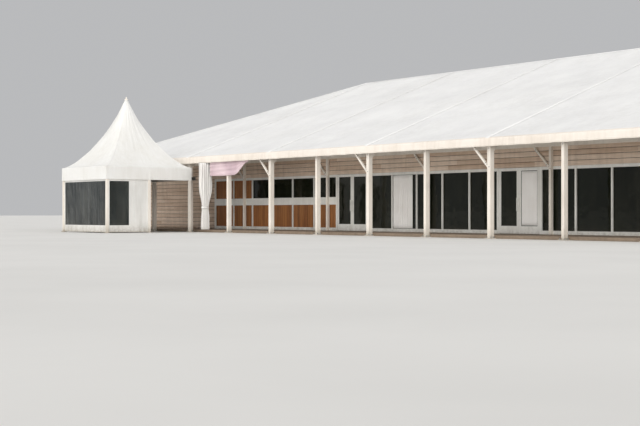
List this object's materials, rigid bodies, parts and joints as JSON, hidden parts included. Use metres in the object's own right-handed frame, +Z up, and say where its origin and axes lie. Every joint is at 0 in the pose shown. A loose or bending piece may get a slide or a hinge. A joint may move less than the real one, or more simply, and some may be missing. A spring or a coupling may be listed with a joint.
{
  "type": "marquee tent",
  "caption": "Long white hipped marquee tent with an open timber-boarded veranda, glazed doors that swing, fabric walls with windows and a concave pagoda porch.",
  "frame": {"origin": "under the middle of the hall, on the level ground that the posts and the floor stand on", "axes": "+Z up, +X along the ridge, -Y out of the veranda, towards the porch"},
  "size_m": [38.2058, 24.2279, 6.9957],
  "materials": {
    "white_frame": "white powder coat on aluminium, satin",
    "roof_skin": "white coated polyester, semi-matt",
    "pagoda_skin": "white coated polyester, semi-matt",
    "wall_fabric": "white coated polyester, semi-matt",
    "timber_boards": "weathered boards, matt",
    "decking": "worn boards, matt",
    "glazing": "dark glass",
    "door_frame": "pale grey powder coat, satin",
    "clear_film": "clear soft vinyl, glossy",
    "bright_metal": "mill finish",
    "drape_cloth": "soft white cloth"
  },
  "bodies": {
    "marquee": {"floor_deck": "decking", "portal_frame_1": "white_frame", "portal_frame_2": "white_frame", "portal_frame_3": "white_frame", "portal_frame_4": "white_frame", "purlin_front": "white_frame", "purlin_back": "white_frame", "ridge_beam": "white_frame", "hip_frame_left": "white_frame", "hip_frame_right": "white_frame", "front_eave_row": "white_frame", "back_eave_row": "white_frame", "left_eave_row": "white_frame", "right_eave_row": "white_frame", "roof_skin_front": "roof_skin", "roof_skin_back": "roof_skin", "roof_skin_left": "roof_skin", "roof_skin_right": "roof_skin", "front_wall_boarding": "timber_boards", "front_wall_low_boarding": "timber_boards", "veranda_inner_row": "white_frame", "front_wall_frame_left": "white_frame", "front_wall_frame_middle": "white_frame", "front_wall_frame_right": "white_frame", "front_wall_dado": "timber_boards", "front_wall_glass_left": "glazing", "front_wall_glass_middle": "glazing", "front_wall_glass_right": "glazing", "back_wall": "wall_fabric", "back_wall_windows": "clear_film", "left_wall": "wall_fabric", "left_wall_windows": "clear_film", "right_wall": "wall_fabric", "right_wall_windows": "clear_film", "pagoda_frame": "white_frame", "pagoda_skin": "pagoda_skin", "pagoda_king_pole": "bright_metal", "pagoda_finial": "bright_metal", "pagoda_wall_front": "clear_film", "pagoda_wall_left": "clear_film", "pagoda_wall_side": "clear_film", "link_gutter": "bright_metal", "entrance_drape": "drape_cloth", "entrance_swag": "drape_cloth"},
    "door_a_left": {"door_a_left_leaf": "door_frame"},
    "door_a_right": {"door_a_right_leaf": "door_frame"},
    "door_b_left": {"door_b_left_leaf": "door_frame"},
    "door_b_right": {"door_b_right_leaf": "door_frame"}
  },
  "joints": [
    {"name": "door_a_left_hinge", "type": "hinge", "parent": "marquee", "child": "door_a_left", "pos_m": [6.576, -6.9785, 0.1], "axis": [0, 0, -1], "range_deg": [0, 100]},
    {"name": "door_a_right_hinge", "type": "hinge", "parent": "marquee", "child": "door_a_right", "pos_m": [8.424, -6.9785, 0.1], "axis": [0, 0, 1], "range_deg": [0, 100]},
    {"name": "door_b_left_hinge", "type": "hinge", "parent": "marquee", "child": "door_b_left", "pos_m": [-2.424, -6.9785, 0.1], "axis": [0, 0, -1], "range_deg": [0, 100]},
    {"name": "door_b_right_hinge", "type": "hinge", "parent": "marquee", "child": "door_b_right", "pos_m": [-0.576, -6.9785, 0.1], "axis": [0, 0, 1], "range_deg": [0, 100]}
  ]
}
